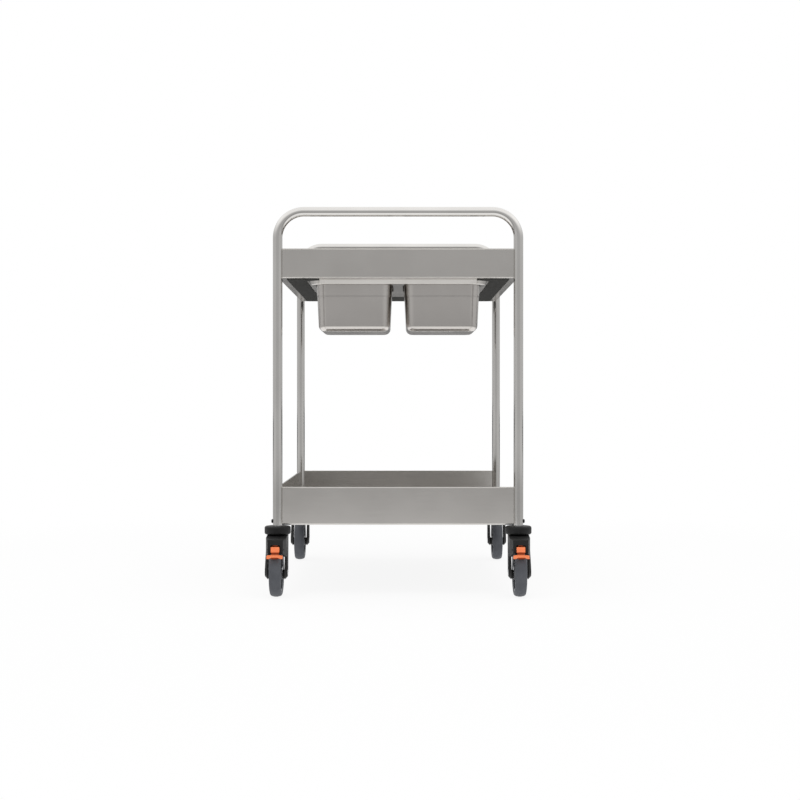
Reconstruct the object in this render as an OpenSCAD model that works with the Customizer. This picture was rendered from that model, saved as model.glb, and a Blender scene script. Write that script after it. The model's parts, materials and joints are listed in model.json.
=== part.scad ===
// Tray return trolley: two bent-tube hoops carry two folded sheet shelves on four swivel casters.
// A pressed recess in the upper shelf holds two lift-out pans, and the two front casters have brakes.
// Lengths are in millimetres, +Z is up, +X is to the right seen from the front, and the front faces -Y.
// The origin is on the floor, under the middle of the overall box.

/* [Hoops] */
// Outer diameter of the hoop tube
tube_d = 25; // [20:0.5:30]
// Wall thickness of the hoop tube
tube_wall = 1.5; // [1:0.1:2.5]
// Distance between the two legs of a hoop, centre to centre
leg_spacing = 627; // [560:1:760]
// Distance between the two hoops, centre to centre
hoop_spacing = 850; // [640:1:1050]
// Bend radius of a hoop on the tube's centreline
bend_r = 68; // [45:1:100]
// Top of the handles above the underside of the upper shelf
handle_rise = 185; // [150:1:260]

/* [Shelves] */
// Thickness of the shelf sheet
sheet_t = 1.2; // [0.8:0.1:2]
// Outside radius of the fold between a shelf's floor and its walls
fold_r = 4; // [3:0.5:8]
// Diameter of the rolled hem along the top of the walls
hem_d = 3.2; // [2:0.1:5]
// Underside of the lower shelf above the ends of the legs
foot_drop = 0.5; // [0:0.1:40]
// Underside of the upper shelf above the underside of the lower shelf
shelf_pitch = 643.2; // [450:0.1:760]
// Height of the upper shelf's walls
upper_wall_h = 77; // [40:1:110]
// Height of the lower shelf's walls
lower_wall_h = 99.2; // [40:0.1:150]
// Height of the lip along the lower shelf's open right side
lip_h = 16; // [8:1:40]

/* [Sound mats] */
// Thickness of the mats under the shelves
mat_t = 1.5; // [1:0.1:1.6]
// Bare band between a mat and the shelf's walls
mat_margin = 21; // [10:1:60]
// Corner radius of the mats
mat_corner_r = 12; // [5:1:40]
// Gap between the upper mat and the recess
mat_recess_gap = 5.5; // [2:0.5:15]
// Width of the bare strip in front of the recess
mat_front_w = 416; // [300:1:440]

/* [Pans] */
// Width of a pan's body under its rim
pan_w = 204; // [120:1:225]
// Length of a pan's body under its rim
pan_l = 255; // [180:1:400]
// Depth of a pan from its rim to its underside
pan_depth = 135; // [60:1:200]
// Thickness of the pan sheet
pan_t = 1; // [0.6:0.1:1.5]
// Plan corner radius of a pan's body under its rim
pan_corner_r = 34; // [28:1:60]
// Outside radius of a pan's bottom edge
pan_edge_r = 16; // [8:1:20]
// Lean of a pan's walls, in degrees
pan_draft = 2.7; // [1:0.1:4]
// Width of a pan's flat rim
rim_w = 12.5; // [10:0.1:18]
// Outside radius of the bends beside the rim
rim_bend_r = 3; // [2:0.5:4]
// Height of the stacking shoulder under the rim
shoulder_drop = 45; // [20:1:50]
// Step of the stacking shoulder
shoulder_step = 0.6; // [0.5:0.1:3]

/* [Pan recess] */
// Underside of the recess below the underside of the upper shelf
recess_depth = 11; // [8:0.5:20]
// Front of the recess behind the front legs' centres
recess_front = 61; // [40:1:150]
// Plan corner radius of the recess
recess_corner_r = 45; // [30:1:48]
// Outside radius of the recess's lower edge
recess_edge_r = 3.5; // [2:0.5:5]
// Lean of the recess's walls, in degrees
recess_lean = 20; // [5:1:30]
// Gap between the pans' rims and the tops of the recess's walls
recess_play = 5.3; // [5:0.1:12]
// Free floor of the recess behind the pans
recess_spare = 160; // [20:1:240]
// Gap between the rims of the two pans
pan_play = 5.8; // [0.6:0.1:10]
// Gap between a pan's body and its opening in the recess
opening_play = 2.5; // [1.5:0.1:6]

/* [Bumpers and stems] */
// Diameter of the bumper discs
bumper_d = 68; // [50:1:80]
// Height of the bumper discs above the stem's flange
bumper_h = 18.5; // [12:0.5:30]
// Radius of the bumper discs' edges
bumper_edge_r = 5; // [2:0.5:5.5]
// Gap between the bumper discs and the ends of the legs
leg_gap = 1.8; // [1.2:0.1:4]
// Length of the stem inside the leg
stem_l = 55; // [30:1:90]
// Diameter of the stem's flange under the bumper
flange_d = 40; // [32:1:46]
// Thickness of the stem's flange
flange_t = 3; // [2:0.5:6]
// Diameter of the kingpin under the flange
kingpin_d = 12; // [10:0.5:13]
// Height of the kingpin's nut
kingpin_nut_h = 6; // [4:0.5:7]
// Width of the kingpin's nut across its corners
kingpin_nut_d = 17; // [15:0.5:18]
// Diameter of the lock screws' shanks
screw_d = 6; // [4:0.5:8]
// Length of the lock screws' shanks
screw_l = 11; // [6:0.5:12]
// Diameter of the lock screws' heads
screw_head_d = 10.5; // [9:0.5:13]
// Height of the lock screws' heads
screw_head_h = 4; // [2:0.5:5]
// Height of the lock screws above the ends of the legs
screw_rise = 10.7; // [9.5:0.1:28]

/* [Wheels] */
// Diameter of the wheels
wheel_d = 125; // [100:1:150]
// Width of the wheels
wheel_w = 30.5; // [29:0.5:40]
// Radius of the tyres' shoulders
shoulder_r = 9.5; // [4:0.5:13]
// Thickness of the tyres
tyre_t = 15; // [13:0.5:20]
// Width of the rim under the tyre
wheel_rim_w = 27; // [20:0.5:28]
// Thickness of the rim
wheel_rim_t = 4; // [3:0.5:6]
// Thickness of the wheel's web
web_t = 8; // [5:0.5:12]
// Diameter of the wheel's hub
hub_d = 36; // [32:1:44]
// Outer diameter of the wheel's ball bearings
bearing_d = 26; // [24:0.5:28]
// Width of the wheel's ball bearings
bearing_w = 8; // [6:0.5:10]
// Diameter of the axles
axle_d = 10; // [8:0.5:11]
// Diameter of the axles' heads and nuts
axle_head_d = 16; // [14:0.5:17]
// Height of the axles' heads and nuts
axle_head_h = 4; // [3:0.5:4.5]
// Depth of the axles' heads and nuts below the arms' outer faces
head_sink = 0.5; // [0.2:0.1:1]
// Outer diameter of the spacers beside the hubs
spacer_d = 20; // [14:0.5:24]
// Wall of the spacer tube between the bearings
spacer_tube_t = 2; // [1:0.1:2.5]

/* [Forks] */
// Distance between the swivel axis and the axle
caster_trail = 34; // [28:0.5:45]
// Gap between the wheel and the fork's arms
side_gap = 6.1; // [2.5:0.1:7]
// Thickness of the fork's arms at the axle
arm_t = 8.4; // [7:0.1:12]
// Radius of the arms' inner ends round the axle
boss_r = 19; // [16:0.5:24]
// Radius of the arms' outer faces round the axle
boss_face_r = 10; // [9.5:0.5:14]
// Width of the arms under the fork's head
arm_top_w = 44; // [30:1:48]
// Diameter of the fork's head
head_d = 53; // [48:1:60]
// Height of the fork's head
head_h = 26; // [24:0.5:40]
// Gap between the wheel and the fork's head
head_gap = 6; // [4:0.5:12]
// Gap between the fork's head and the stem's flange
seal_gap = 0.8; // [0.5:0.1:2]
// Outer diameter of the swivel bearings
swivel_d = 28; // [26:0.5:34]
// Height of the swivel bearings
swivel_h = 17; // [14:0.5:18]

/* [Brakes] */
// Centre of the pedal's pin above the tyre
pivot_gap = 7.7; // [7:0.1:10]
// Lean of the pedal's pin from the wheel's top towards the front, in degrees
pivot_angle = 27; // [24:0.5:30]
// Diameter of the pedal's pin
pin_d = 4; // [3:0.5:5]
// Length of the pedal's pin
pin_l = 34; // [31:1:38]
// Outer diameter of the lever's hub
lever_hub_d = 10; // [9:0.5:11]
// Width of the lever's hub
lever_w = 20; // [14:0.5:21]
// Step from the lever's hub to its narrower strip, on each side
hub_lip = 0.5; // [0.3:0.1:2]
// Gap between the lever and the tyre
lever_gap = 5; // [4:0.1:5.5]
// Thickness of the lever
lever_t = 3; // [2:0.1:4]
// Lean of the foot bar from the wheel's top towards the front, in degrees
bar_angle = 51.1; // [48:0.1:56]
// Width of the foot bar
bar_w = 41; // [30:0.5:50]
// Height of the foot bar in its middle
bar_h = 7.6; // [7.5:0.1:12]
// Depth of the foot bar
bar_t = 6.5; // [5:0.1:7]
// Width of the arch's flat top under the foot bar
bar_arch_w = 16; // [10:0.5:22]
// Width of the foot bar's ends beside the arch
bar_foot_w = 6; // [4:0.5:7]
// Drop of the foot bar's ends under its middle
bar_foot_h = 4.2; // [1:0.1:5]
// Drop of the foot bar's upper corners
bar_droop = 1.4; // [0:0.1:3]
// Width of the upper pad
pad_w = 22; // [16:0.5:24]
// Top of the upper pad above its pin
pad_rise = 6.7; // [6:0.1:7.5]
// Bottom of the upper pad below its pin
pad_drop = 7; // [6.5:0.1:10]
// Reach of the upper pad's top in front of its pin
pad_top_reach = 11; // [9:0.1:14]
// Reach of the upper pad's bottom in front of its pin
pad_foot_reach = 15.5; // [14.5:0.1:18]
// Thickness of the detent spring
spring_t = 0.6; // [0.4:0.1:0.8]
// Width of the detent spring
spring_w = 12; // [6:0.5:16]
// Half the span of the detent spring
spring_reach = 8; // [6:0.5:8.5]
// Front face of the hood in front of the pin
hood_reach = 9.5; // [8:0.5:12]
// Top of the hood's front above the pin
hood_rise = 24.7; // [12.5:0.1:26]
// Gap between the wheel and the hood
hood_gap = 3.4; // [2.5:0.1:5]
// Gap between the wheel and the hood's sides
skirt_gap = 1.8; // [1:0.1:2.4]
// Bottom of the hood's sides above the axle
skirt_rise = 41; // [20:1:50]
// Half the width of the hood's front face
hood_front_half_w = 19.5; // [17:0.5:22]
// Gap beside and above the upper pad
slot_play = 0.7; // [0.4:0.1:1.5]
// Room above the lever's pin inside the hood
hood_room = 10.5; // [10:0.1:11]

/* [Fits] */
// Radial clearance of parts that run on each other
run_gap = 0.05; // [0.02:0.01:0.1]
// Gap between welded, glued or pressed parts
bond_gap = 0.05; // [0.02:0.01:0.1]
// Axial clearance between parts that turn past each other
end_gap = 0.3; // [0.2:0.05:0.6]
// Room round nuts, heads and spacers
nut_play = 0.8; // [0.5:0.1:1.5]

/* [Hidden] */
// Overrun of the cutting shapes
overrun = 1;
// Facet count of round faces, and of the parts of a hull
$fn = 64;
hull_fn = 32;
// Steps of the arcs in the drawn outlines
arc_steps = 6;

// Heights, from the floor up
wheel_r = wheel_d / 2;
head_z = wheel_d + head_gap;
fork_top = head_z + head_h;
flange_z = fork_top + seal_gap;
bumper_z = flange_z + flange_t;
leg_z = bumper_z + bumper_h + leg_gap;
lower_z = leg_z + foot_drop;
upper_z = lower_z + shelf_pitch;
tube_r = tube_d / 2;
tube_bore_r = tube_r - tube_wall;
bend_z = upper_z + handle_rise - tube_r - bend_r;
screw_z = leg_z + screw_rise;

// Places in plan: the hoops are set so that the overall box is centred on the origin
front_reach = caster_trail + wheel_r;
rear_reach = max(bumper_d / 2, wheel_r - caster_trail);
frame_shift = (front_reach - rear_reach) / 2;
leg_x = leg_spacing / 2;
hoop_y = [frame_shift - hoop_spacing / 2, frame_shift + hoop_spacing / 2];

// Pans and their recess
rim_total_w = pan_w + 2 * rim_w;
rim_total_l = pan_l + 2 * rim_w;
recess_w = 2 * rim_total_w + pan_play + 2 * recess_play + 2 * sheet_t;
recess_l = rim_total_l + 2 * recess_play + 2 * sheet_t + recess_spare;
recess_y = hoop_y[0] + recess_front + recess_l / 2;
recess_floor_z = upper_z - recess_depth + sheet_t;
pan_x = (rim_total_w + pan_play) / 2;
pan_y = hoop_y[0] + recess_front + sheet_t + recess_play + rim_total_l / 2;
pan_z = upper_z + sheet_t - pan_depth;

// Casters
fork_in = wheel_w / 2 + side_gap;
fork_out = fork_in + arm_t;
head_r = head_d / 2;
axle_r = axle_d / 2;
stem_r = tube_bore_r - bond_gap;
kingpin_r = kingpin_d / 2;
swivel_z = fork_top - end_gap - swivel_h;
nut_top_z = swivel_z - end_gap;
kingpin_z = nut_top_z - kingpin_nut_h;
nut_room_r = kingpin_nut_d / 2 + nut_play;
rim_r = wheel_r - tyre_t;
bearing_in = wheel_w / 2 - bearing_w;
axle_face = fork_out - axle_head_h - head_sink;

// Brakes, in the caster's own frame: the swivel axis is at x = 0, y = 0
pivot_r = wheel_r + pivot_gap;
pivot_y = -caster_trail - pivot_r * sin(pivot_angle);
pivot_z = wheel_r + pivot_r * cos(pivot_angle);
lever_in_r = wheel_r + lever_gap;
lever_out_r = lever_in_r + lever_t;
bar_r = lever_out_r + bar_t / 2;
bar_y = -caster_trail - bar_r * sin(bar_angle);
bar_z = wheel_r + bar_r * cos(bar_angle);
hub_r = lever_hub_d / 2;

// Names of the four casters, with the side and the end that each stands at
CASTERS = [["front_left", -1, 0], ["front_right", 1, 0], ["rear_left", -1, 1], ["rear_right", 1, 1]];
CASTER_PIECES = [
    "bumper", "stem", "fork", "swivel_bearing", "axle", "axle_nut", "axle_spacers",
    "tyre", "wheel_core", "wheel_bearings"
];
BRAKE_PIECES = ["brake_lever", "brake_pedal", "pedal_pin", "detent_spring"];

// The brakes are on the casters under the front hoop
function braked(caster) = caster[2] == 0;

// Points along an arc, from one angle to another
function arc(centre, r, from, to) = [
    for (i = [0:arc_steps])
        let (angle = from + (to - from) * i / arc_steps)
        centre + r * [cos(angle), sin(angle)]
];

// Colours
steel = [0.62, 0.61, 0.60];
dark_mat = [0.2, 0.2, 0.2];
black_plastic = [0.12, 0.12, 0.12];
grey_tyre = [0.33, 0.34, 0.36];
grey_plastic = [0.45, 0.46, 0.48];
orange = [0.93, 0.42, 0.18];
bright_steel = [0.75, 0.75, 0.75];

// Shapes that repeat

// Puts a shape at every leg, turned so that its +X points outwards
module at_legs() {
    for (caster = CASTERS)
        at_caster(caster)
            rotate(caster[1] > 0 ? 0 : 180) children();
}

// Puts a shape at one leg
module at_caster(caster) {
    translate([caster[1] * leg_x, hoop_y[caster[2]], 0]) children();
}

// Cylinder along X, centred on the given length
module x_cylinder(r, l) {
    rotate([0, 90, 0]) cylinder(r = r, h = l, center = true);
}

// Extrudes an outline drawn in depth and height along X
module side_prism(w) {
    rotate([90, 0, 90]) linear_extrude(w, center = true) children();
}

// Rectangle with round corners
module round_rect(w, l, r) {
    square([w - 2 * r, l], center = true);
    square([w, l - 2 * r], center = true);
    for (sx = [-1, 1], sy = [-1, 1])
        translate([sx * (w / 2 - r), sy * (l / 2 - r)]) circle(r = r);
}

// Rectangle with round lower corners, standing on the axis
module fold_section(w, h, r) {
    translate([-w / 2, r]) square([w, h - r]);
    translate([r - w / 2, 0]) square([w - 2 * r, h]);
    for (side = [-1, 1])
        translate([side * (w / 2 - r), r]) circle(r = r);
}

// Block with round lower edges on all four sides
module folded_block(w, l, h, r) {
    intersection() {
        rotate([90, 0, 0]) linear_extrude(l, center = true) fold_section(w, h, r);
        rotate([90, 0, 90]) linear_extrude(w, center = true) fold_section(l, h, r);
    }
}

// Pressed sheet shape: a section runs round a rectangle with round corners, and a plate fills the middle.
// The section is drawn outwards from the corners' centres.
module pressed_shape(w, l, r, plate_t) {
    for (turn = [0:3]) {
        along_x = turn % 2 == 0;
        sx = turn == 0 || turn == 3 ? 1 : -1;
        sy = turn < 2 ? 1 : -1;
        translate([sx * (w / 2 - r), sy * (l / 2 - r), 0])
            rotate(90 * turn) rotate_extrude(angle = 90) children();
        rotate(90 * turn) translate([(along_x ? w : l) / 2 - r, 0, 0])
            rotate([90, 0, 0]) linear_extrude((along_x ? l : w) - 2 * r, center = true) children();
    }
    translate([0, 0, plate_t / 2]) cube([w - 2 * r, l - 2 * r, plate_t], center = true);
}

// Hoops

// Section of the tube
module tube_ring() {
    difference() {
        circle(r = tube_r);
        circle(r = tube_bore_r);
    }
}

// Half of a hoop on the +X side: the bend, the leg down from it and the handle from it to the middle
module half_hoop() {
    translate([leg_x - bend_r, 0, bend_z]) {
        rotate([90, 0, 0]) rotate_extrude(angle = 90) translate([bend_r, 0]) tube_ring();
        translate([bend_r, 0, 0]) mirror([0, 0, 1]) linear_extrude(bend_z - leg_z) tube_ring();
        translate([0, 0, bend_r]) rotate([0, -90, 0]) linear_extrude(leg_x - bend_r) tube_ring();
    }
}

module hoop(end) {
    color(steel) difference() {
        translate([0, hoop_y[end], 0]) {
            half_hoop();
            mirror([1, 0, 0]) half_hoop();
        }
        at_legs() screw_hole();
    }
}

// Hole for a lock screw through the outer side of a leg and into its stem
module screw_hole() {
    translate([0, 0, screw_z]) rotate([0, 90, 0]) cylinder(d = screw_d + 2 * bond_gap, h = tube_r + overrun);
}

// Shelves

// Folded tray with hemmed walls in the planes of the legs' centres, notched round the legs
module tray(wall_h, right_wall_h) {
    w = leg_spacing + sheet_t;
    l = hoop_spacing + sheet_t;
    difference() {
        union() {
            difference() {
                folded_block(w, l, wall_h - hem_d / 2, fold_r);
                translate([0, 0, sheet_t])
                    folded_block(w - 2 * sheet_t, l - 2 * sheet_t, wall_h, fold_r - sheet_t);
                if (right_wall_h < wall_h)
                    translate([leg_x - tube_r / 2, -l / 2 - overrun, right_wall_h - hem_d / 2])
                        cube([tube_r, l + 2 * overrun, wall_h]);
            }
            for (side = [-1, 1]) {
                side_h = side > 0 ? right_wall_h : wall_h;
                translate([0, side * hoop_spacing / 2, wall_h - hem_d / 2])
                    x_cylinder(hem_d / 2, leg_spacing);
                translate([side * leg_x, 0, side_h - hem_d / 2])
                    rotate(90) x_cylinder(hem_d / 2, hoop_spacing);
            }
        }
        for (sx = [-1, 1], sy = [-1, 1])
            translate([sx * leg_x, sy * hoop_spacing / 2, -overrun])
                cylinder(r = tube_r + bond_gap, h = wall_h + 2 * overrun);
    }
}

// Section of the recess's leaning wall and of the floor near it
module recess_section() {
    top = recess_depth + sheet_t;
    across = sheet_t / cos(recess_lean);
    fold_x = recess_corner_r
        - (recess_edge_r + sin(recess_lean) * (recess_depth - recess_edge_r)) / cos(recess_lean);
    fold = [fold_x, recess_edge_r];
    top_x = recess_corner_r + sheet_t * tan(recess_lean);
    polygon(concat(
        [[0, 0]],
        arc(fold, recess_edge_r, -90, -recess_lean),
        [[top_x, top], [top_x - across, top]],
        arc(fold, recess_edge_r - sheet_t, -recess_lean, -90),
        [[0, sheet_t]]
    ));
}

// Pressed recess with an opening for each pan
module recess() {
    opening_r = pan_corner_r + opening_play;
    difference() {
        pressed_shape(recess_w, recess_l, recess_corner_r, sheet_t) recess_section();
        for (side = [-1, 1])
            translate([side * pan_x, pan_y - recess_y, -overrun])
                linear_extrude(sheet_t + 2 * overrun)
                    round_rect(pan_w + 2 * opening_play, pan_l + 2 * opening_play, opening_r);
    }
}

module upper_shelf() {
    color(steel) {
        difference() {
            translate([0, frame_shift, upper_z]) tray(upper_wall_h, upper_wall_h);
            translate([0, recess_y, upper_z - overrun]) linear_extrude(sheet_t + 2 * overrun)
                round_rect(recess_w - sheet_t, recess_l - sheet_t, recess_corner_r - sheet_t / 2);
        }
        translate([0, recess_y, upper_z - recess_depth]) recess();
    }
}

module lower_shelf() {
    color(steel) translate([0, frame_shift, lower_z]) tray(lower_wall_h, lip_h);
}

// Sound mats

// Outline of a mat inside the bare band along the walls
module mat_outline() {
    translate([0, frame_shift])
        round_rect(leg_spacing - 2 * mat_margin, hoop_spacing - 2 * mat_margin, mat_corner_r);
}

module upper_mat() {
    hole_w = recess_w + 2 * mat_recess_gap;
    hole_l = recess_l + 2 * mat_recess_gap;
    color(dark_mat) translate([0, 0, upper_z - mat_t]) linear_extrude(mat_t) difference() {
        mat_outline();
        translate([0, recess_y]) round_rect(hole_w, hole_l, recess_corner_r + mat_recess_gap);
        translate([-mat_front_w / 2, hoop_y[0]]) square([mat_front_w, recess_front + recess_l / 2]);
    }
}

module lower_mat() {
    color(dark_mat) translate([0, 0, lower_z - mat_t]) linear_extrude(mat_t) mat_outline();
}

// Pans

// Section of a pan's sheet: floor, leaning wall with a stacking shoulder, flat rim and turned-down edge
module pan_section() {
    lean = [cos(pan_draft), -sin(pan_draft)];
    wall_at = pan_corner_r * lean[0] + pan_depth * lean[1];
    low_wall_at = wall_at - shoulder_step;
    across = pan_t / cos(pan_draft);
    shoulder_z = pan_depth - shoulder_drop;
    rim_out = pan_corner_r + rim_w;
    foot = [(low_wall_at - pan_edge_r + pan_edge_r * sin(pan_draft)) / cos(pan_draft), pan_edge_r];
    neck_z = pan_depth - pan_t - rim_bend_r;
    neck = [(wall_at + rim_bend_r + neck_z * sin(pan_draft)) / cos(pan_draft), neck_z];
    edge = [rim_out - rim_bend_r, pan_depth - rim_bend_r];
    low_x = (low_wall_at + shoulder_z * sin(pan_draft)) / cos(pan_draft);
    high_x = (wall_at + (shoulder_z + shoulder_step) * sin(pan_draft)) / cos(pan_draft);
    polygon(concat(
        [[0, 0]],
        arc(foot, pan_edge_r, -90, -pan_draft),
        [[low_x, shoulder_z], [high_x, shoulder_z + shoulder_step]],
        arc(neck, rim_bend_r, 180 - pan_draft, 90),
        arc(edge, rim_bend_r - pan_t, 90, 0),
        [[rim_out - pan_t, pan_depth - recess_depth], [rim_out, pan_depth - recess_depth]],
        arc(edge, rim_bend_r, 0, 90),
        arc(neck, rim_bend_r + pan_t, 90, 180 - pan_draft),
        [[high_x - across, shoulder_z + shoulder_step], [low_x - across, shoulder_z]],
        arc(foot, pan_edge_r - pan_t, -pan_draft, -90),
        [[0, pan_t]]
    ));
}

module pan(side) {
    color(steel) translate([side * pan_x, pan_y, pan_z])
        pressed_shape(pan_w, pan_l, pan_corner_r, pan_t) pan_section();
}

// Stems and bumpers

// Disc with round edges, a bore for the stem and a seat for its flange
module bumper() {
    edge = bumper_d / 2 - bumper_edge_r;
    bore = stem_r + bond_gap;
    seat = flange_d / 2 + bond_gap;
    top = flange_t + bumper_h;
    color(black_plastic) translate([0, 0, flange_z]) rotate_extrude() polygon(concat(
        [[bore, flange_t], [seat, flange_t], [seat, 0]],
        arc([edge, bumper_edge_r], bumper_edge_r, -90, 0),
        arc([edge, top - bumper_edge_r], bumper_edge_r, 0, 90),
        [[bore, top]]
    ));
}

// Plug in the leg, flange under the bumper, shoulder on the bearing and kingpin through it
module stem() {
    shoulder = kingpin_r + flange_t;
    color(bright_steel) difference() {
        union() {
            translate([0, 0, bumper_z]) cylinder(r = stem_r, h = leg_z - bumper_z + stem_l);
            translate([0, 0, flange_z]) cylinder(d = flange_d, h = flange_t);
            translate([0, 0, fork_top]) cylinder(r = shoulder, h = seal_gap);
            translate([0, 0, kingpin_z]) cylinder(r = kingpin_r, h = fork_top - kingpin_z);
        }
        screw_hole();
    }
}

module stem_lock_screws() {
    color(black_plastic) at_legs() {
        translate([tube_r + bond_gap, 0, screw_z]) rotate([0, 90, 0])
            cylinder(d1 = screw_head_d, d2 = screw_head_d - screw_head_h, h = screw_head_h);
        translate([tube_r + bond_gap - screw_l, 0, screw_z]) rotate([0, 90, 0])
            cylinder(d = screw_d, h = screw_l);
    }
}

module kingpin_nuts() {
    color(bright_steel) at_legs() translate([0, 0, kingpin_z]) difference() {
        cylinder(d = kingpin_nut_d, h = kingpin_nut_h, $fn = 6);
        translate([0, 0, -overrun]) cylinder(r = kingpin_r + bond_gap, h = kingpin_nut_h + 2 * overrun);
    }
}

// Casters, each in its own frame with the swivel axis at the origin and the wheel towards -Y

// Moves a shape from the axle's middle to its place in the caster
module at_axle() {
    translate([0, -caster_trail, wheel_r]) children();
}

// Arm that leans out from the head to a cone-shaped end round the axle
module fork_arm(side) {
    hull() {
        at_axle() translate([side * fork_in, 0, 0]) rotate([0, side * 90, 0])
            cylinder(r1 = boss_r, r2 = boss_face_r, h = arm_t, $fn = hull_fn);
        translate([side * (fork_in + head_r) / 2, 0, head_z + head_h / 2])
            cube([head_r - fork_in, arm_top_w, head_h], center = true);
    }
}

// Hood over the front of the wheel, with narrowing sides and a slot for the pedal
module hood() {
    front = pivot_y - hood_reach;
    top = pivot_z + hood_rise;
    back = -head_r / 2;
    bottom = pivot_z - hood_reach;
    skirt_z = wheel_r + skirt_rise;
    side_back = front / 2 + back / 2;
    difference() {
        intersection() {
            side_prism(2 * fork_out) polygon([
                [back, fork_top - end_gap], [front, top],
                [front, bottom], [side_back, skirt_z], [back, skirt_z]
            ]);
            translate([0, 0, skirt_z]) linear_extrude(fork_top - skirt_z) polygon([
                [-head_r, back], [-head_r, side_back], [-hood_front_half_w, front],
                [hood_front_half_w, front], [head_r, side_back], [head_r, back]
            ]);
        }
        at_axle() x_cylinder(wheel_r + hood_gap, wheel_w + 2 * skirt_gap);
        translate([-pad_w / 2 - slot_play, front - overrun, bottom - overrun])
            cube([pad_w + 2 * slot_play, 2 * hood_reach + overrun, hood_reach + hood_room + overrun]);
        translate([0, pivot_y, pivot_z]) x_cylinder(pin_d / 2 + bond_gap, 2 * fork_out);
    }
}

module fork(caster) {
    color(black_plastic) difference() {
        union() {
            translate([0, 0, head_z]) cylinder(r = head_r, h = head_h);
            for (side = [-1, 1])
                fork_arm(side);
            if (braked(caster))
                hood();
        }
        translate([0, 0, swivel_z]) cylinder(d = swivel_d + 2 * bond_gap, h = head_h);
        translate([0, 0, head_z - overrun]) cylinder(r = nut_room_r, h = head_h);
        at_axle() x_cylinder(axle_r + bond_gap, 2 * fork_out + overrun);
        for (side = [-1, 1])
            at_axle() translate([side * axle_face, 0, 0]) rotate([0, side * 90, 0])
                cylinder(d = axle_head_d + 2 * nut_play, h = arm_t);
    }
}

// Bearing pressed into the fork's head, running on the kingpin
module swivel_bearing() {
    color(bright_steel) translate([0, 0, swivel_z]) difference() {
        cylinder(d = swivel_d, h = swivel_h);
        translate([0, 0, -overrun]) cylinder(r = kingpin_r + run_gap, h = swivel_h + 2 * overrun);
    }
}

// Axle with a round head sunk in the left arm
module axle() {
    color(bright_steel) at_axle() {
        x_cylinder(axle_r, 2 * (axle_face + axle_head_h));
        translate([-axle_face - axle_head_h / 2, 0, 0]) x_cylinder(axle_head_d / 2, axle_head_h);
    }
}

// Nut sunk in the right arm
module axle_nut() {
    color(bright_steel) at_axle() translate([axle_face + axle_head_h / 2, 0, 0]) difference() {
        rotate([0, 90, 0]) cylinder(d = axle_head_d, h = axle_head_h, center = true, $fn = 6);
        x_cylinder(axle_r + bond_gap, axle_head_h + overrun);
    }
}

// Spacers on the axle: one beside each end of the hub and a tube between the bearings
module axle_spacers() {
    side_l = side_gap - 2 * end_gap;
    color(black_plastic) at_axle() difference() {
        union() {
            for (side = [-1, 1])
                translate([side * (fork_in - end_gap - side_l / 2), 0, 0]) x_cylinder(spacer_d / 2, side_l);
            x_cylinder(axle_r + spacer_tube_t, 2 * (bearing_in - end_gap));
        }
        x_cylinder(axle_r + bond_gap, 2 * fork_in);
    }
}

// Wheels

// Turns an outline drawn as radius and width about the axle
module wheel_turn() {
    at_axle() rotate([0, 90, 0]) rotate_extrude() children();
}

module tyre() {
    crown = wheel_r - shoulder_r;
    flank = wheel_w / 2 - shoulder_r;
    color(grey_tyre) wheel_turn() polygon(concat(
        [[rim_r, -wheel_rim_w / 2]],
        arc([crown, -flank], shoulder_r, -90, 0),
        arc([crown, flank], shoulder_r, 0, 90),
        [[rim_r, wheel_rim_w / 2]]
    ));
}

// Rim, web and hub with seats for the bearings
module wheel_core() {
    bore = axle_r + spacer_tube_t + nut_play;
    rim_in = rim_r - wheel_rim_t;
    color(grey_plastic) wheel_turn() difference() {
        union() {
            translate([rim_in, -wheel_rim_w / 2]) square([wheel_rim_t - bond_gap, wheel_rim_w]);
            translate([bore, -web_t / 2]) square([rim_in + wheel_rim_t / 2 - bore, web_t]);
            translate([bore, -wheel_w / 2]) square([hub_d / 2 - bore, wheel_w]);
        }
        for (side = [-1, 1])
            translate([0, side * wheel_w / 2])
                square([bearing_d + 2 * bond_gap, 2 * (bearing_w + bond_gap)], center = true);
    }
}

module wheel_bearings() {
    color(bright_steel) for (side = [-1, 1])
        at_axle() translate([side * (bearing_in + bearing_w / 2), 0, 0]) difference() {
            x_cylinder(bearing_d / 2, bearing_w);
            x_cylinder(axle_r + run_gap, bearing_w + overrun);
        }
}

// Brakes

// Lever: a hub on the pin and a strip that follows the tyre down to the foot bar
module brake_lever() {
    color(orange) difference() {
        union() {
            translate([0, pivot_y, pivot_z]) x_cylinder(hub_r, lever_w);
            lever_strip();
        }
        translate([0, pivot_y, pivot_z]) x_cylinder(pin_d / 2 + run_gap, lever_w + overrun);
    }
}

// Part of a ring round the axle, from the middle of the hub's wall to the foot bar
module lever_strip() {
    start = pivot_angle + asin((pin_d / 2 + hub_r) / 2 / pivot_r);
    end = bar_angle + asin(bar_t / 2 / bar_r);
    far = bar_r + bar_h;
    at_axle() intersection() {
        difference() {
            x_cylinder(lever_out_r, lever_w - 2 * hub_lip);
            x_cylinder(lever_in_r, lever_w);
        }
        side_prism(lever_w) polygon([
            [0, 0], [-far * sin(start), far * cos(start)], [-far * sin(end), far * cos(end)]
        ]);
    }
}

// Foot bar with an arch over the tyre and lower ends
module foot_bar() {
    half = bar_w / 2;
    arch = bar_arch_w / 2;
    foot = half - bar_foot_w;
    top = bar_h / 2;
    low = -top - bar_foot_h;
    rotate([90, 0, 0]) linear_extrude(bar_t, center = true) polygon([
        [-half, top - bar_droop], [-foot, top], [foot, top], [half, top - bar_droop],
        [half, low], [foot, low], [arch, -top], [-arch, -top], [-foot, low], [-half, low]
    ]);
}

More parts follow.
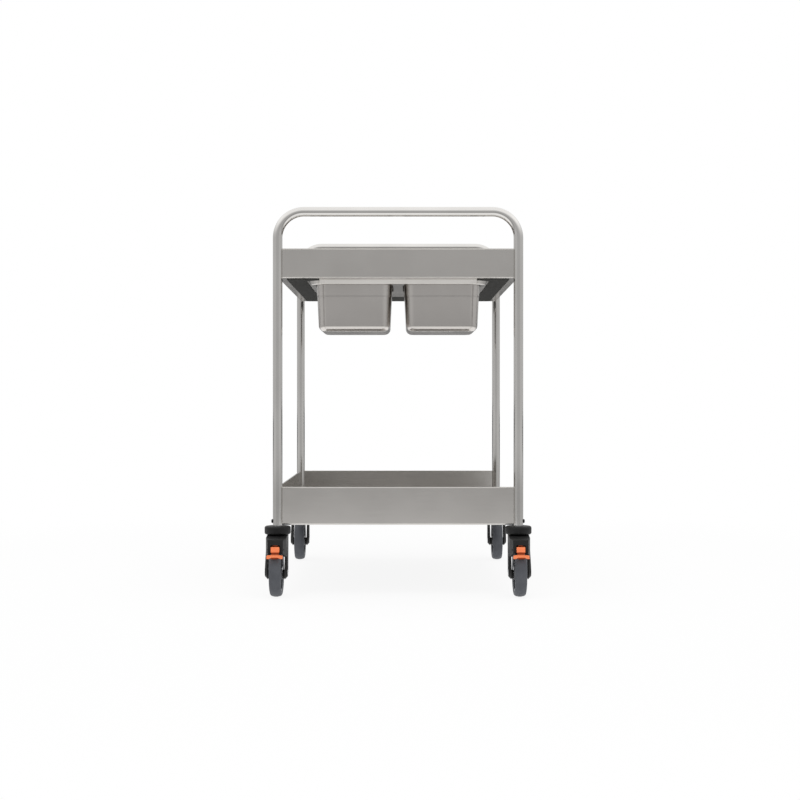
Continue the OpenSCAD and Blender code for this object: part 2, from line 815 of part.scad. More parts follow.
// Orange pad above and orange foot bar below, both on the lever
module brake_pedal() {
    color(orange) difference() {
        union() {
            translate([0, pivot_y, pivot_z]) side_prism(pad_w) polygon([
                [-pad_foot_reach, -pad_drop], [-pad_top_reach, pad_rise],
                [-hub_r, pad_rise], [-hub_r, -pad_drop]
            ]);
            translate([0, bar_y, bar_z]) foot_bar();
        }
        translate([0, pivot_y, pivot_z]) x_cylinder(hub_r + bond_gap, bar_w + overrun);
        at_axle() x_cylinder(lever_out_r + bond_gap, bar_w + overrun);
    }
}

module pedal_pin() {
    color(bright_steel) translate([0, pivot_y, pivot_z]) x_cylinder(pin_d / 2, pin_l);
}

// Moulded leaf under the hood's roof, bearing on the lever's hub
module detent_spring() {
    low = hub_r + end_gap;
    high = hood_room - spring_t;
    color(orange) translate([0, pivot_y, pivot_z]) side_prism(spring_w) polygon([
        [-spring_reach, high], [0, low], [spring_reach, high],
        [spring_reach, high + spring_t], [0, low + spring_t], [-spring_reach, high + spring_t]
    ]);
}

// One piece of a caster, by name
module caster_piece(piece, caster) {
    if (piece == "bumper") bumper();
    if (piece == "stem") rotate(caster[1] > 0 ? 0 : 180) stem();
    if (piece == "fork") fork(caster);
    if (piece == "swivel_bearing") swivel_bearing();
    if (piece == "axle") axle();
    if (piece == "axle_nut") axle_nut();
    if (piece == "axle_spacers") axle_spacers();
    if (piece == "tyre") tyre();
    if (piece == "wheel_core") wheel_core();
    if (piece == "wheel_bearings") wheel_bearings();
    if (piece == "brake_lever") brake_lever();
    if (piece == "brake_pedal") brake_pedal();
    if (piece == "pedal_pin") pedal_pin();
    if (piece == "detent_spring") detent_spring();
}

hoop(0);  // front_hoop
hoop(1);  // rear_hoop
upper_shelf();
lower_shelf();
upper_mat();
lower_mat();
pan(-1);  // left_pan
pan(1);  // right_pan
stem_lock_screws();
kingpin_nuts();
for (caster = CASTERS, piece = concat(CASTER_PIECES, braked(caster) ? BRAKE_PIECES : []))
    at_caster(caster) caster_piece(piece, caster);
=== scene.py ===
# Looks of the tray return trolley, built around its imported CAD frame
import json
import math

import bmesh
import bpy
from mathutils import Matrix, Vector


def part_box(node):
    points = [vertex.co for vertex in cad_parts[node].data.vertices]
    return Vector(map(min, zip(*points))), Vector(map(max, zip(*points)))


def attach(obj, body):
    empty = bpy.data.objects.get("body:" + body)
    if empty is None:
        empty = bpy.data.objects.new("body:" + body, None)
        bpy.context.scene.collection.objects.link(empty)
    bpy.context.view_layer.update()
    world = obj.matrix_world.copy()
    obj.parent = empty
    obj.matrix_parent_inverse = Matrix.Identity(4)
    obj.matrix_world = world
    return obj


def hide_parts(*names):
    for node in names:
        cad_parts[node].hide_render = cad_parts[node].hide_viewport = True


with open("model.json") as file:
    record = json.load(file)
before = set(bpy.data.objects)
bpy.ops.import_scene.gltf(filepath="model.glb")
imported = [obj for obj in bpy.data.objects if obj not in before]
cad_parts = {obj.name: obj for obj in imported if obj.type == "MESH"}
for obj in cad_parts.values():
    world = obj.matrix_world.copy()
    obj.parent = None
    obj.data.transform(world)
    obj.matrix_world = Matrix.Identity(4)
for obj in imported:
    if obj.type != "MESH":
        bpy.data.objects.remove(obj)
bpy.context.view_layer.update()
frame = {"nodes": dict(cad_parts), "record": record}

# Camera: level and from the front, as in the photograph
IMAGE_PX = 800
HORIZON_PX = 401.0
CAMERA_AT = (0.0051, -4.0228, 0.5044)
LENS_MM = 62.7
SENSOR_MM = 36.0

# Studio: levels that glossy rays see, and the fill for diffuse rays
HORIZON_LEVEL = 0.54
ZENITH_LEVEL = 1.25
LEVEL_RISE = (0.06, 0.7)
SIDE_REACH, SIDE_RISE = (0.4, 0.75), 0.1
FILL_LEVEL = 0.7

# Floor: levels that glossy rays see by distance, and shares of shadow and bounce
FLOOR_SIZE = 90.0
FLOOR_GREY = (0.9, 0.9, 0.9, 1.0)
NEAR_REACH, NEAR_LEVEL = (1.2, 2.4), 1.24
MID_LEVEL = 0.43
FAR_REACH, FAR_LEVEL = (4.0, 9.0), 0.60
BACK_REACH, BACK_SHARE = (3.2, 5.0), 0.25
SHADOW_REACH, SHADOW_SHARE = (1.0, 2.4), 0.1
BOUNCE_SHARE = 0.4

# Lamp: soft and overhead
LAMP_AT = (0.0, -0.4, 3.2)
LAMP_TARGET = (0.0, 0.0, 0.5)
LAMP_SIZE = 2.6
LAMP_POWER = 52.0

# Noise in the materials: scales per metre, and the spreads that it gives
NOISE_LOW, NOISE_HIGH = 0.3, 0.7
STEEL_CLOUD_SCALE = 7.0
MOULDED_CLOUD_SCALE = 45.0
MOULDED_GRAIN_SCALE = 1400.0
MOULDED_ROUGH_SPREAD = 0.06
MOULDED_BUMP_STRENGTH = 0.4
ALONG_LEVEL = (8.0, 8.0, 1800.0)
ALONG_Z = (1800.0, 1800.0, 8.0)

# Steels: dark and light tint, roughness, its spread and the grain's stretch
STEELS = {
    "stainless_sheet": ((191, 188, 184), (200, 197, 193), 0.24, 0.03, ALONG_LEVEL),
    "stainless_tube": ((203, 201, 198), (211, 209, 206), 0.10, 0.02, ALONG_LEVEL),
    "stainless_pan": ((195, 191, 187), (203, 199, 195), 0.23, 0.03, ALONG_LEVEL),
    "zinc_steel": ((180, 181, 184), (198, 199, 202), 0.32, 0.06, ALONG_Z),
}

# Plastics, rubbers and blackened steel: dark and light tint, roughness, specular level, depth of grain
MOULDED = {
    "sound_mat": ((44, 44, 42), (56, 56, 54), 0.7, 0.08, 0.0003),
    "black_plastic": ((24, 24, 24), (32, 32, 32), 0.50, 0.22, 0.00008),
    "black_steel": ((18, 18, 18), (26, 26, 26), 0.38, 0.35, 0.00004),
    "orange_plastic": ((251, 134, 80), (255, 142, 88), 0.32, 0.45, 0.00005),
    # The brake lever's tint is the orange plastic painted darker, as painted shade for the gap between
    # the pad and the foot bar
    "deep_orange_plastic": ((150, 66, 32), (160, 74, 38), 0.5, 0.2, 0.00005),
    "grey_tyre": ((79, 81, 86), (89, 91, 96), 0.60, 0.25, 0.00010),
    "grey_plastic": ((96, 98, 102), (108, 110, 114), 0.45, 0.35, 0.00006),
}

# Sizes in metres that the frame's boxes don't give, as in the part's source
BEND_R = 0.068
TUBE_WALL = 0.0015
PAN_T = 0.001
PAN_CORNER_R = 0.034
PAN_EDGE_R = 0.016
PAN_LEAN = math.radians(2.7)
RIM_W = 0.0125
RIM_BEND_R = 0.003
SHOULDER_DROP = 0.045
SHOULDER_STEP = 0.0006
RECESS_DEPTH = 0.011
BUMPER_EDGE_R = 0.005
BUMPER_BORE_R = 0.011
FLANGE_R = 0.02005
FLANGE_T = 0.003
TYRE_T = 0.015
TYRE_RIM_W = 0.027
CORE_RIM_T = 0.004
CORE_HUB_R = 0.018
CORE_WEB_T = 0.008
CORE_BORE_R = 0.0078
SEAT_R = 0.01305
SEAT_W = 0.00805
SPACER_BORE_R = 0.00505
SPACER_TUBE_R = 0.007
SPACER_PLAY = 0.0003
SCREW_HEAD_H = 0.004
SCREW_SHANK_R = 0.003
SCREW_SHANK_L = 0.011

# Sizes in metres of what only the scene draws
SHOULDER_H = 0.006
TYRE_SHOULDER_R = 0.0065
TYRE_CROWN_R = 0.032
CORE_FILLET = 0.003
HUB_EDGE_R = 0.001
RIB_COUNT = 10
RIB_T = 0.0032
RIB_W = 0.021
RIB_SINK = 0.0015
BOSS_R = 0.0115
BOSS_DROP = 0.0045
BOSS_GAP = 0.0008
BAR_TOP_Z = 0.1129
BAR_SHARE = 0.8
HEAD_EDGE_R = 0.0032
HEAD_EDGE_END = 80
SOCKET_R = 0.0024
SOCKET_DEPTH = 0.0024

# Facets of the drawn meshes, and how the moulded pieces are rounded off
RING_STEPS = 48
BEND_STEPS = 28
ARC_STEPS = 8
CORNER_STEPS = 14
WHEEL_STEPS = 96
SHARP_EDGE = math.radians(35)
FORK_VOXEL, FORK_ROUNDS = 0.0008, 16
PEDAL_VOXEL, PEDAL_ROUNDS = 0.0005, 14
SMOOTH_FACTOR = 0.5

CASTERS = ("front_left", "front_right", "rear_left", "rear_right")
BRAKED = CASTERS[:2]


# Node helpers

def feed(link, socket, value):
    """Sets a socket to a number, or links another socket to it."""
    if isinstance(value, (int, float)):
        socket.default_value = value
    else:
        link(value, socket)


def calc(nodes, link, operation, *values):
    """Result of a calculation on values that are sockets or numbers."""
    node = nodes.new("ShaderNodeMath")
    node.operation = operation
    for socket, value in zip(node.inputs, values):
        feed(link, socket, value)
    return node.outputs[0]


def pick(nodes, link, factor, at_zero, at_one):
    """Value between two values that are sockets or numbers, by a factor."""
    node = nodes.new("ShaderNodeMix")
    link(factor, node.inputs["Factor"])
    feed(link, node.inputs["A"], at_zero)
    feed(link, node.inputs["B"], at_one)
    return node.outputs["Result"]


def map_range(nodes, link, value, reach, at_start, at_end):
    """Node that goes from at_start to at_end while a value goes through its reach."""
    node = nodes.new("ShaderNodeMapRange")
    node.inputs["From Min"].default_value = reach[0]
    node.inputs["From Max"].default_value = reach[1]
    node.inputs["To Min"].default_value = at_start
    node.inputs["To Max"].default_value = at_end
    link(value, node.inputs["Value"])
    return node


def ramp(nodes, link, value, reach, at_start, at_end):
    """Value that goes smoothly from at_start to at_end while another goes through its reach."""
    node = map_range(nodes, link, value, reach, at_start, at_end)
    node.interpolation_type = "SMOOTHSTEP"
    return node.outputs["Result"]


# Materials

def srgb(*levels):
    """Linear colour, with alpha, of an sRGB colour given from 0 to 255."""
    shares = [level / 255 for level in levels]
    linear = [s / 12.92 if s < 0.04045 else ((s + 0.055) / 1.055) ** 2.4 for s in shares]
    return (*linear, 1.0)


def new_material(name):
    """A material with its shader alone, as (material, nodes, link, shader)."""
    material = bpy.data.materials.new(name)
    material.use_nodes = True
    tree = material.node_tree
    return material, tree.nodes, tree.links.new, tree.nodes["Principled BSDF"]


def noise(nodes, link, scale, stretch=(1, 1, 1), detail=4.0):
    """Factor of a noise texture in the frame's metres, stretched along the axes."""
    place = nodes.new("ShaderNodeTexCoord")
    mapping = nodes.new("ShaderNodeMapping")
    mapping.inputs["Scale"].default_value = stretch
    texture = nodes.new("ShaderNodeTexNoise")
    texture.inputs["Scale"].default_value = scale
    texture.inputs["Detail"].default_value = detail
    link(place.outputs["Object"], mapping.inputs["Vector"])
    link(mapping.outputs["Vector"], texture.inputs["Vector"])
    return texture.outputs["Fac"]


def spread(nodes, link, factor, low, high):
    """Maps a noise factor to the range from low to high."""
    return map_range(nodes, link, factor, (NOISE_LOW, NOISE_HIGH), low, high).outputs["Result"]


def tint(nodes, link, factor, dark, light):
    """Colour that a noise factor moves between two sRGB colours."""
    node = nodes.new("ShaderNodeMix")
    node.data_type = "RGBA"
    node.inputs["A"].default_value = srgb(*dark)
    node.inputs["B"].default_value = srgb(*light)
    link(spread(nodes, link, factor, 0.0, 1.0), node.inputs["Factor"])
    return node.outputs["Result"]


def bump(nodes, link, factor, depth):
    """Normal of a grained surface, with the grain's depth in metres."""
    node = nodes.new("ShaderNodeBump")
    node.inputs["Distance"].default_value = depth
    node.inputs["Strength"].default_value = MOULDED_BUMP_STRENGTH
    link(factor, node.inputs["Height"])
    return node.outputs["Normal"]


def steel(name, dark, light, rough, rough_spread, stretch):
    """Steel with a fine grain along its rolling direction and cloudy changes of tint."""
    material, nodes, link, shader = new_material(name)
    cloud = noise(nodes, link, STEEL_CLOUD_SCALE, detail=3.0)
    streaks = noise(nodes, link, 1.0, stretch, detail=2.0)
    gloss = spread(nodes, link, streaks, rough - rough_spread, rough + rough_spread)
    link(tint(nodes, link, cloud, dark, light), shader.inputs["Base Color"])
    link(gloss, shader.inputs["Roughness"])
    shader.inputs["Metallic"].default_value = 1.0
    return material


def moulded(name, dark, light, rough, specular, grain_depth):
    """Plastic or rubber with a fine grain and faint changes of tint."""
    material, nodes, link, shader = new_material(name)
    cloud = noise(nodes, link, MOULDED_CLOUD_SCALE, detail=3.0)
    grain = noise(nodes, link, MOULDED_GRAIN_SCALE, detail=2.0)
    low, high = rough - MOULDED_ROUGH_SPREAD, rough + MOULDED_ROUGH_SPREAD
    link(tint(nodes, link, cloud, dark, light), shader.inputs["Base Color"])
    link(spread(nodes, link, grain, low, high), shader.inputs["Roughness"])
    link(bump(nodes, link, grain, grain_depth), shader.inputs["Normal"])
    shader.inputs["Specular IOR Level"].default_value = specular
    return material


MATERIALS = {name: steel(name, *looks) for name, looks in STEELS.items()}
MATERIALS.update({name: moulded(name, *looks) for name, looks in MOULDED.items()})


def dress_cad_nodes():
    """Gives every CAD node the material of its slot."""
    for part in frame["record"]["subparts"]:
        node = frame["nodes"][part["node"]]
        node.data.materials.clear()
        node.data.materials.append(MATERIALS[part["material_slot"]])


# Camera, studio, floor and lamp

def add_camera():
    """Camera at the photograph's viewing angle, shifted to its horizon."""
    data = bpy.data.cameras.new("camera")
    data.lens = LENS_MM
    data.sensor_width = SENSOR_MM
    data.shift_y = (HORIZON_PX - IMAGE_PX / 2) / IMAGE_PX
    camera = bpy.data.objects.new("camera", data)
    camera.location = CAMERA_AT
    camera.rotation_euler = (math.pi / 2, 0, 0)
    bpy.context.scene.collection.objects.link(camera)
    bpy.context.scene.camera = camera


def seen_rays(nodes, link):
    """One for camera rays, and one for camera, glossy and transmission rays, else zero."""
    path = nodes.new("ShaderNodeLightPath")
    from_camera = path.outputs["Is Camera Ray"]
    mirrored = calc(nodes, link, "MAXIMUM", from_camera, path.outputs["Is Glossy Ray"])
    seen = calc(nodes, link, "MAXIMUM", mirrored, path.outputs["Is Transmission Ray"])
    return from_camera, seen


def split_axes(nodes, link, vector):
    """Parts of a vector along the axes, by their names."""
    node = nodes.new("ShaderNodeSeparateXYZ")
    link(vector, node.inputs["Vector"])
    return node.outputs


def side_rise(nodes, link, direction):
    """Extra level towards the left and right of a direction."""
    sideways = calc(nodes, link, "ABSOLUTE", split_axes(nodes, link, direction)["X"])
    return ramp(nodes, link, sideways, SIDE_REACH, 0.0, SIDE_RISE)


def add_world():
    """White studio: paler overhead and at the sides in reflections, with a soft fill."""
    world = bpy.data.worlds.new("studio")
    world.use_nodes = True
    bpy.context.scene.world = world
    nodes = world.node_tree.nodes
    link = world.node_tree.links.new
    background = nodes["Background"]
    from_camera, seen = seen_rays(nodes, link)
    direction = nodes.new("ShaderNodeTexCoord").outputs["Generated"]
    height = calc(nodes, link, "ABSOLUTE", split_axes(nodes, link, direction)["Z"])
    rise = ramp(nodes, link, height, LEVEL_RISE, HORIZON_LEVEL, ZENITH_LEVEL)
    mirrored = calc(nodes, link, "ADD", rise, side_rise(nodes, link, direction))
    shown = pick(nodes, link, from_camera, mirrored, 1.0)
    background.inputs["Color"].default_value = (1, 1, 1, 1)
    link(pick(nodes, link, seen, FILL_LEVEL, shown), background.inputs["Strength"])


def vector_calc(nodes, link, operation, vector):
    """Outputs of a calculation on a vector."""
    node = nodes.new("ShaderNodeVectorMath")
    node.operation = operation
    link(vector, node.inputs[0])
    return node.outputs


def floor_level(nodes, link, place, distance, from_camera):
    """Level of the floor's glow: white to the camera, and dimmer far off in reflections."""
    near = ramp(nodes, link, distance, NEAR_REACH, NEAR_LEVEL, MID_LEVEL)
    far = ramp(nodes, link, distance, FAR_REACH, 0.0, FAR_LEVEL - MID_LEVEL)
    side = side_rise(nodes, link, vector_calc(nodes, link, "NORMALIZE", place)["Vector"])
    back = ramp(nodes, link, split_axes(nodes, link, place)["Y"], BACK_REACH, 1.0, BACK_SHARE)
    total = calc(nodes, link, "ADD", calc(nodes, link, "ADD", near, far), side)
    mirrored = calc(nodes, link, "MULTIPLY", total, back)
    return pick(nodes, link, from_camera, mirrored, 1.0)


def floor_material():
    """Matt white that glows to camera and glossy rays, but for a share that keeps the shadow."""
    material, nodes, link, shader = new_material("floor")
    shader.inputs["Base Color"].default_value = FLOOR_GREY
    shader.inputs["Roughness"].default_value = 1.0
    shader.inputs["Specular IOR Level"].default_value = 0.0
    from_camera, seen = seen_rays(nodes, link)
    place = nodes.new("ShaderNodeTexCoord").outputs["Object"]
    distance = vector_calc(nodes, link, "LENGTH", place)["Value"]
    glow = nodes.new("ShaderNodeEmission")
    link(floor_level(nodes, link, place, distance, from_camera), glow.inputs["Strength"])
    lit_share = ramp(nodes, link, distance, SHADOW_REACH, 1 - SHADOW_SHARE, 1.0)
    seen_share = calc(nodes, link, "MULTIPLY", seen, lit_share)
    mix = nodes.new("ShaderNodeMixShader")
    link(calc(nodes, link, "MAXIMUM", seen_share, BOUNCE_SHARE), mix.inputs["Fac"])
    link(shader.outputs["BSDF"], mix.inputs[1])
    link(glow.outputs["Emission"], mix.inputs[2])
    link(mix.outputs["Shader"], nodes["Material Output"].inputs["Surface"])
    return material


def add_floor():
    """Wide white floor, which isn't part of the object."""
    half = FLOOR_SIZE / 2
    corners = [(-half, -half, 0), (half, -half, 0), (half, half, 0), (-half, half, 0)]
    mesh = bpy.data.meshes.new("floor")
    mesh.from_pydata(corners, [], [(0, 1, 2, 3)])
    mesh.materials.append(floor_material())
    floor = bpy.data.objects.new("floor", mesh)
    bpy.context.scene.collection.objects.link(floor)


def add_lamp():
    """Soft square lamp over the object."""
    data = bpy.data.lights.new("top_lamp", "AREA")
    data.energy = LAMP_POWER
    data.size = LAMP_SIZE
    lamp = bpy.data.objects.new("top_lamp", data)
    lamp.location = LAMP_AT
    aim = Vector(LAMP_TARGET) - Vector(LAMP_AT)
    lamp.rotation_euler = aim.to_track_quat("-Z", "Y").to_euler()
    lamp.visible_glossy = False
    bpy.context.scene.collection.objects.link(lamp)


# Mesh helpers

def dress(piece, slot, body, nodes):
    """Gives a piece its body, the nodes that it stands for and its slot."""
    piece.data.materials.clear()
    piece.data.materials.append(MATERIALS[slot])
    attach(piece, body)
    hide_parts(*nodes)
    return piece


def make_piece(name, points, faces, slot, body, nodes):
    """A smooth piece that rides on a body, stands for CAD nodes and has a slot's material."""
    mesh = bpy.data.meshes.new(name)
    mesh.from_pydata(points, [], faces)
    shape = bmesh.new()
    shape.from_mesh(mesh)
    bmesh.ops.recalc_face_normals(shape, faces=shape.faces)
    shape.to_mesh(mesh)
    shape.free()
    mesh.shade_smooth()
    mesh.set_sharp_from_angle(angle=SHARP_EDGE)
    piece = bpy.data.objects.new(name, mesh)
    bpy.context.scene.collection.objects.link(piece)
    return dress(piece, slot, body, nodes)


def band(first, second, count):
    """Quads between two rings of the same count, given by their first points' places."""
    after = [(i + 1) % count for i in range(count)]
    return [(first + i, first + j, second + j, second + i) for i, j in enumerate(after)]


def ring_faces(rings, count, closed):
    """Quads between rings in a row, and from the last back to the first where it is closed."""
    pairs = [(i, i + 1) for i in range(rings - 1)]
    if closed:
        pairs.append((rings - 1, 0))
    return [face for i, j in pairs for face in band(i * count, j * count, count)]


def shifted(faces, first):
    """Faces whose points come after others in a list."""
    return [tuple(first + i for i in face) for face in faces]


def ring_turns(steps):
    """Angles of the points of a ring."""
    return [2 * math.pi * i / steps for i in range(steps)]


def arc(centre, radius, start, end, steps=ARC_STEPS):
    """Points along an arc, with the angles in degrees."""
    angles = [math.radians(start + (end - start) * i / steps) for i in range(steps + 1)]
    return [(centre[0] + radius * math.cos(a), centre[1] + radius * math.sin(a)) for a in angles]


def lathe(profile, centre, axis, steps):
    """Points and faces of a closed outline of (radius, along) turned about the X or Z axis."""
    points = []
    for radius, along in profile:
        for a in ring_turns(steps):
            across = (radius * math.cos(a), radius * math.sin(a))
            offset = (along, *across) if axis == "X" else (*across, along)
            points.append(tuple(c + o for c, o in zip(centre, offset)))
    return points, ring_faces(len(profile), steps, True)


# Pieces drawn in place of CAD nodes

def hoop_path(low, high, tube_r):
    """Places and in-plane normals along a hoop's centreline, as (x, z, nx, nz)."""
    leg_x = high.x - tube_r
    bend_x = leg_x - BEND_R
    bend_z = high.z - tube_r - BEND_R
    path = [(-leg_x, low.z, -1.0, 0.0)]
    for side, start, end in ((-1, 180, 90), (1, 90, 0)):
        for nx, nz in arc((0, 0), 1.0, start, end, BEND_STEPS):
            path.append((side * bend_x + BEND_R * nx, bend_z + BEND_R * nz, nx, nz))
    path.append((leg_x, low.z, 1.0, 0.0))
    return path


def add_hoop(node):
    """Bent tube with a bore, swept along the hoop's centreline."""
    low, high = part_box(node)
    tube_r = (high.y - low.y) / 2
    y = (high.y + low.y) / 2
    path = hoop_path(low, high, tube_r)
    rows = [(place, tube_r) for place in path]
    rows += [(place, tube_r - TUBE_WALL) for place in reversed(path)]
    turns = ring_turns(RING_STEPS)
    points = [
        (x + r * math.cos(a) * nx, y + r * math.sin(a), z + r * math.cos(a) * nz)
        for (x, z, nx, nz), r in rows for a in turns
    ]
    faces = ring_faces(len(rows), RING_STEPS, True)
    make_piece(node + "_tube", points, faces, "stainless_tube", "frame", [node])


def pan_profile(depth):
    """Section of a pan's sheet from the floor's underside round the rim to the floor's top."""
    cos, sin = math.cos(PAN_LEAN), math.sin(PAN_LEAN)
    lean = math.degrees(PAN_LEAN)
    wall_at = PAN_CORNER_R * cos - depth * sin
    low_at = wall_at - SHOULDER_STEP
    rim_out = PAN_CORNER_R + RIM_W
    foot = ((low_at - PAN_EDGE_R + PAN_EDGE_R * sin) / cos, PAN_EDGE_R)
    neck_z = depth - PAN_T - RIM_BEND_R
    neck = ((wall_at + RIM_BEND_R + neck_z * sin) / cos, neck_z)
    edge = (rim_out - RIM_BEND_R, depth - RIM_BEND_R)
    step_z = depth - SHOULDER_DROP
    across = PAN_T / cos

    def shoulder(inset):
        """The stacking shoulder as a soft step, from its lower to its upper end."""
        shares = [i / ARC_STEPS for i in range(ARC_STEPS + 1)]
        heights = [step_z + SHOULDER_H * up for up in shares]
        steps = [SHOULDER_STEP * up * up * (3 - 2 * up) for up in shares]
        return [((low_at + out + z * sin) / cos - inset, z) for z, out in zip(heights, steps)]

    outside = arc(foot, PAN_EDGE_R, -90, -lean) + shoulder(0.0)
    outside += arc(neck, RIM_BEND_R, 180 - lean, 90) + arc(edge, RIM_BEND_R - PAN_T, 90, 0)
    lip = [(rim_out - PAN_T, depth - RECESS_DEPTH), (rim_out, depth - RECESS_DEPTH)]
    inside = arc(edge, RIM_BEND_R, 0, 90) + arc(neck, RIM_BEND_R + PAN_T, 90, 180 - lean)
    inside += list(reversed(shoulder(across))) + arc(foot, PAN_EDGE_R - PAN_T, -lean, -90)
    return outside + lip + inside


def add_pan(node):
    """Pressed pan: a fine section run round a rectangle with round corners."""
    low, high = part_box(node)
    centre = (low + high) / 2
    half_x = (high.x - low.x) / 2 - RIM_W - PAN_CORNER_R
    half_y = (high.y - low.y) / 2 - RIM_W - PAN_CORNER_R
    directions = []
    for quarter, (sx, sy) in enumerate(((1, 1), (-1, 1), (-1, -1), (1, -1))):
        corner = arc((0, 0), 1.0, 90 * quarter, 90 * quarter + 90, CORNER_STEPS)
        directions += [(sx * half_x, sy * half_y, cx, cy) for cx, cy in corner]
    profile = pan_profile(high.z - low.z)
    points = [
        (centre.x + x + out * cx, centre.y + y + out * cy, low.z + z)
        for out, z in profile for x, y, cx, cy in directions
    ]
    count = len(directions)
    faces = ring_faces(len(profile), count, False)
    faces.append(tuple(range(count)))
    faces.append(tuple(range(len(points) - count, len(points))))
    make_piece(node + "_shell", points, faces, "stainless_pan", node, [node])


def add_bumper(caster):
    """Bumper disc with round edges and a seat for the stem's flange."""
    node = caster + "_bumper"
    low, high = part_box(node)
    edge = (high.x - low.x) / 2 - BUMPER_EDGE_R
    height = high.z - low.z
    profile = [(BUMPER_BORE_R, FLANGE_T), (FLANGE_R, FLANGE_T), (FLANGE_R, 0.0)]
    profile += arc((edge, BUMPER_EDGE_R), BUMPER_EDGE_R, -90, 0)
    profile += arc((edge, height - BUMPER_EDGE_R), BUMPER_EDGE_R, 0, 90)
    profile += [(BUMPER_BORE_R, height)]
    centre = ((low.x + high.x) / 2, (low.y + high.y) / 2, low.z)
    points, faces = lathe(profile, centre, "Z", WHEEL_STEPS)
    make_piece(node + "_disc", points, faces, "black_plastic", "frame", [node])


def add_tyre(caster):
    """Tyre with a crowned tread and round shoulders."""
    node = caster + "_tyre"
    low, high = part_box(node)
    radius = (high.z - low.z) / 2
    flank = (high.x - low.x) / 2 - TYRE_SHOULDER_R
    reach = TYRE_CROWN_R - TYRE_SHOULDER_R
    lean = math.degrees(math.asin(flank / reach))
    crown = radius - TYRE_CROWN_R
    shoulder = crown + math.sqrt(reach ** 2 - flank ** 2)
    profile = [(radius - TYRE_T, -TYRE_RIM_W / 2)]
    profile += arc((shoulder, -flank), TYRE_SHOULDER_R, -90, -lean)
    profile += arc((crown, 0.0), TYRE_CROWN_R, -lean, lean)[1:-1]
    profile += arc((shoulder, flank), TYRE_SHOULDER_R, lean, 90)
    profile += [(radius - TYRE_T, TYRE_RIM_W / 2)]
    points, faces = lathe(profile, (low + high) / 2, "X", WHEEL_STEPS)
    make_piece(node + "_ring", points, faces, "grey_tyre", caster + "_wheel", [node])


def core_profile(half_w, rim_r):
    """Section of a wheel's core, as (radius, along): bore, bearing seats, hub, web and rim."""
    seat = half_w - SEAT_W
    web = CORE_WEB_T / 2
    rim_in = rim_r - CORE_RIM_T
    rim_half = TYRE_RIM_W / 2
    side = [(CORE_BORE_R, seat), (SEAT_R, seat), (SEAT_R, half_w)]
    side += arc((CORE_HUB_R - HUB_EDGE_R, half_w - HUB_EDGE_R), HUB_EDGE_R, 90, 0)
    side += arc((CORE_HUB_R + CORE_FILLET, web + CORE_FILLET), CORE_FILLET, 180, 270)
    side += arc((rim_in - CORE_FILLET, web + CORE_FILLET), CORE_FILLET, -90, 0)
    side += [(rim_in, rim_half), (rim_r, rim_half)]
    return side + [(radius, -along) for radius, along in reversed(side)]


def rib_points(centre, inner, outer, turn):
    """Corners of a rib between two radii of a wheel, at a turn about its axle."""
    cos, sin = math.cos(turn), math.sin(turn)
    half_t = RIB_T / 2
    outline = ((inner, -half_t), (outer, -half_t), (outer, half_t), (inner, half_t))
    places = [(r * cos - across * sin, r * sin + across * cos) for r, across in outline]
    return [
        (centre.x + x, centre.y + y, centre.z + z)
        for x in (-RIB_W / 2, RIB_W / 2) for y, z in places
    ]


def add_core(caster):
    """Wheel core with radial ribs between its hub and its rim."""
    node = caster + "_wheel_core"
    low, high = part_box(node)
    centre = (low + high) / 2
    rim_r = (high.z - low.z) / 2
    profile = core_profile((high.x - low.x) / 2, rim_r)
    points, faces = lathe(profile, centre, "X", WHEEL_STEPS)
    rib_faces = band(0, 4, 4) + [(0, 1, 2, 3), (4, 5, 6, 7)]
    for turn in ring_turns(RIB_COUNT):
        faces += shifted(rib_faces, len(points))
        points += rib_points(centre, CORE_HUB_R - RIB_SINK, rim_r - CORE_RIM_T / 2, turn)
    make_piece(node + "_ribbed", points, faces, "grey_plastic", caster + "_wheel", [node])


def add_spacers(caster):
    """Bosses beside the hub that reach down to the arms' ends, and a tube between the bearings."""
    node = caster + "_axle_spacers"
    low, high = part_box(node)
    tyre_low, tyre_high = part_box(caster + "_tyre")
    centre = (low + high) / 2
    boss_centre = centre - Vector((0, 0, BOSS_DROP))
    face = (high.x - low.x) / 2
    hub = (tyre_high.x - tyre_low.x) / 2
    tube = hub - SEAT_W - SPACER_PLAY
    outline = [(SPACER_BORE_R, -tube), (SPACER_TUBE_R, -tube)]
    outline += [(SPACER_TUBE_R, tube), (SPACER_BORE_R, tube)]
    points, faces = lathe(outline, centre, "X", RING_STEPS)
    for side in (-1, 1):
        ends = (side * face, side * (hub + BOSS_GAP))
        faces += shifted(ring_faces(4, RING_STEPS, True), len(points))
        points += lathe([(BOSS_R, end) for end in ends], boss_centre, "X", RING_STEPS)[0]
        bore = [(SPACER_BORE_R, end) for end in reversed(ends)]
        points += lathe(bore, centre, "X", RING_STEPS)[0]
    make_piece(node + "_bosses", points, faces, "black_plastic", caster + "_swivel", [node])


def screw_rings(head_r):
    """Rings of a screw from its shank to its socket's floor, as (out, radius at each turn)."""
    profile = [(SCREW_SHANK_R, -SCREW_SHANK_L), (SCREW_SHANK_R, 0.0), (head_r, 0.0)]
    edge = (head_r - HEAD_EDGE_R, SCREW_HEAD_H - HEAD_EDGE_R)
    profile += arc(edge, HEAD_EDGE_R, 0, HEAD_EDGE_END)
    rings = [(out, [radius] * RING_STEPS) for radius, out in profile]
    sector = math.pi / 3
    turns = ring_turns(RING_STEPS)
    hexagon = [SOCKET_R / math.cos(turn % sector - sector / 2) for turn in turns]
    socket_outs = (profile[-1][1], SCREW_HEAD_H - SOCKET_DEPTH)
    return rings + [(out, hexagon) for out in socket_outs]


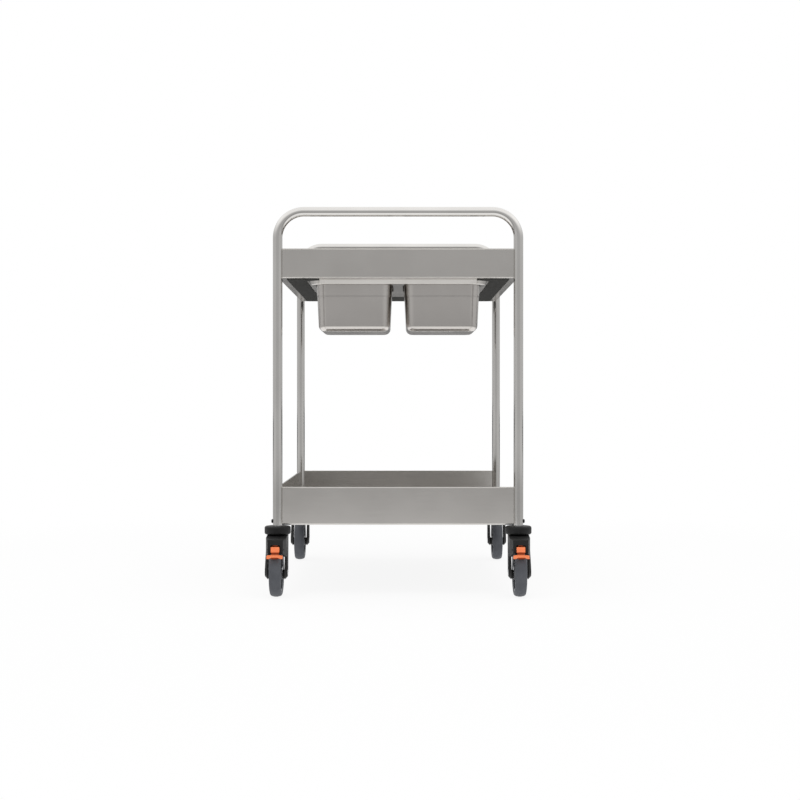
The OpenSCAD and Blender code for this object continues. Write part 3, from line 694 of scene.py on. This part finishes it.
def add_lock_screws(node):
    """Button-head screws with hexagon sockets, one on the outer side of each leg's foot."""
    low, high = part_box(node)
    head_r = (high.z - low.z) / 2
    z = (low.z + high.z) / 2
    rings = screw_rings(head_r)
    turns = ring_turns(RING_STEPS)
    count = len(rings) * RING_STEPS
    screw_faces = ring_faces(len(rings), RING_STEPS, False)
    screw_faces.append(tuple(range(RING_STEPS)))
    screw_faces.append(tuple(range(count - RING_STEPS, count)))
    points = []
    faces = []
    for side in (-1, 1):
        under = side * (high.x - SCREW_HEAD_H)
        for y in (low.y + head_r, high.y - head_r):
            faces += shifted(screw_faces, len(points))
            points += [
                (under + side * out, y + r * math.cos(a), z + r * math.sin(a))
                for out, radii in rings for r, a in zip(radii, turns)
            ]
    make_piece(node + "_heads", points, faces, "black_steel", "frame", [node])


def add_moulding(node, slot, body, voxel, rounds):
    """Moulded piece: the CAD node's shape with its edges rounded off."""
    source = frame["nodes"][node]
    piece = bpy.data.objects.new(node + "_moulding", source.data.copy())
    bpy.context.scene.collection.objects.link(piece)
    remesh = piece.modifiers.new("remesh", "REMESH")
    remesh.mode = "VOXEL"
    remesh.voxel_size = voxel
    smooth = piece.modifiers.new("smooth", "SMOOTH")
    smooth.factor = SMOOTH_FACTOR
    smooth.iterations = rounds
    graph = bpy.context.evaluated_depsgraph_get()
    mesh = bpy.data.meshes.new_from_object(piece.evaluated_get(graph))
    piece.modifiers.clear()
    piece.data = mesh
    mesh.shade_smooth()
    return dress(piece, slot, body, [node])


def add_fork(caster):
    """Fork with rounded edges."""
    node = caster + "_fork"
    add_moulding(node, "black_plastic", caster + "_swivel", FORK_VOXEL, FORK_ROUNDS)


def add_pedal(caster):
    """Pedal with rounded edges, and a foot bar made slimmer from its lower side."""
    node = caster + "_brake_pedal"
    pedal = add_moulding(node, "orange_plastic", caster + "_pedal", PEDAL_VOXEL, PEDAL_ROUNDS)
    for vertex in pedal.data.vertices:
        if vertex.co.z < BAR_TOP_Z:
            vertex.co.z = BAR_TOP_Z - (BAR_TOP_Z - vertex.co.z) * BAR_SHARE
    pedal.data.update()


bpy.context.scene.view_settings.view_transform = "Standard"
add_camera()
add_world()
add_floor()
add_lamp()
dress_cad_nodes()
add_hoop("front_hoop")
add_hoop("rear_hoop")
add_pan("left_pan")
add_pan("right_pan")
add_lock_screws("stem_lock_screws")
for caster in CASTERS:
    add_bumper(caster)
    add_tyre(caster)
    add_core(caster)
    add_spacers(caster)
    add_fork(caster)
for caster in BRAKED:
    add_pedal(caster)
